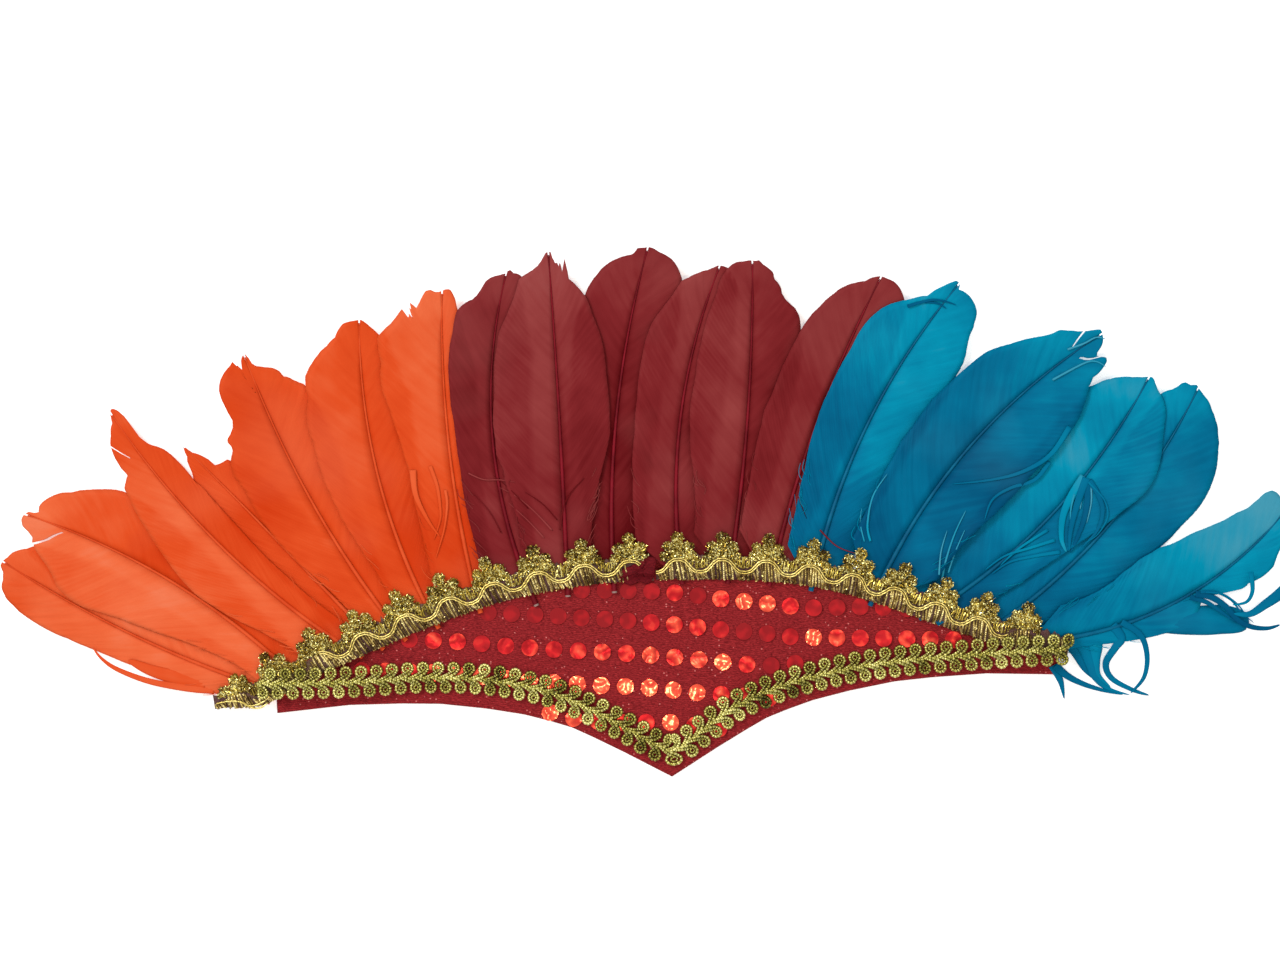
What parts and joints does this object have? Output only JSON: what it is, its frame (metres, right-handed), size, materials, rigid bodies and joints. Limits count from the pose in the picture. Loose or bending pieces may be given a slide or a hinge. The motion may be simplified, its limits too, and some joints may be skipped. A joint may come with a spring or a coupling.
{
  "type": "carnival feather headdress",
  "caption": "Carnival headdress: fan of orange, red and blue feathers on a red sequinned V-shaped plaque with gold crown lace and gold gimp braid.",
  "frame": {"origin": "on the plaque's flat back, midway between its two end corners and level with them", "axes": "+X along the plaque's width to the right as seen from the front, +Y up towards the feather tips, +Z out of the front face"},
  "size_m": [0.4602, 0.1875, 0.0095],
  "materials": {
    "sequin_cloth": "dark red knit with metallic sequins",
    "gold_lace": "glittering gold thread",
    "gold_gimp": "gold cord, slightly green",
    "feather_orange": "dyed feather, soft sheen",
    "feather_red": "dyed feather, soft sheen",
    "feather_blue": "dyed feather, soft sheen"
  },
  "bodies": {
    "root": {"plaque": "sequin_cloth", "lace_left": "gold_lace", "lace_right": "gold_lace", "wave_cord_left": "gold_lace", "wave_cord_right": "gold_lace", "gimp_braid": "gold_gimp", "feather_orange_1": "feather_orange", "feather_orange_2": "feather_orange", "feather_orange_3": "feather_orange", "feather_orange_4": "feather_orange", "feather_orange_5": "feather_orange", "feather_orange_6": "feather_orange", "feather_orange_7": "feather_orange", "feather_red_1": "feather_red", "feather_red_2": "feather_red", "feather_red_3": "feather_red", "feather_red_4": "feather_red", "feather_red_5": "feather_red", "feather_red_6": "feather_red", "feather_blue_1": "feather_blue", "feather_blue_2": "feather_blue", "feather_blue_3": "feather_blue", "feather_blue_4": "feather_blue", "feather_blue_5": "feather_blue"}
  },
  "joints": []
}
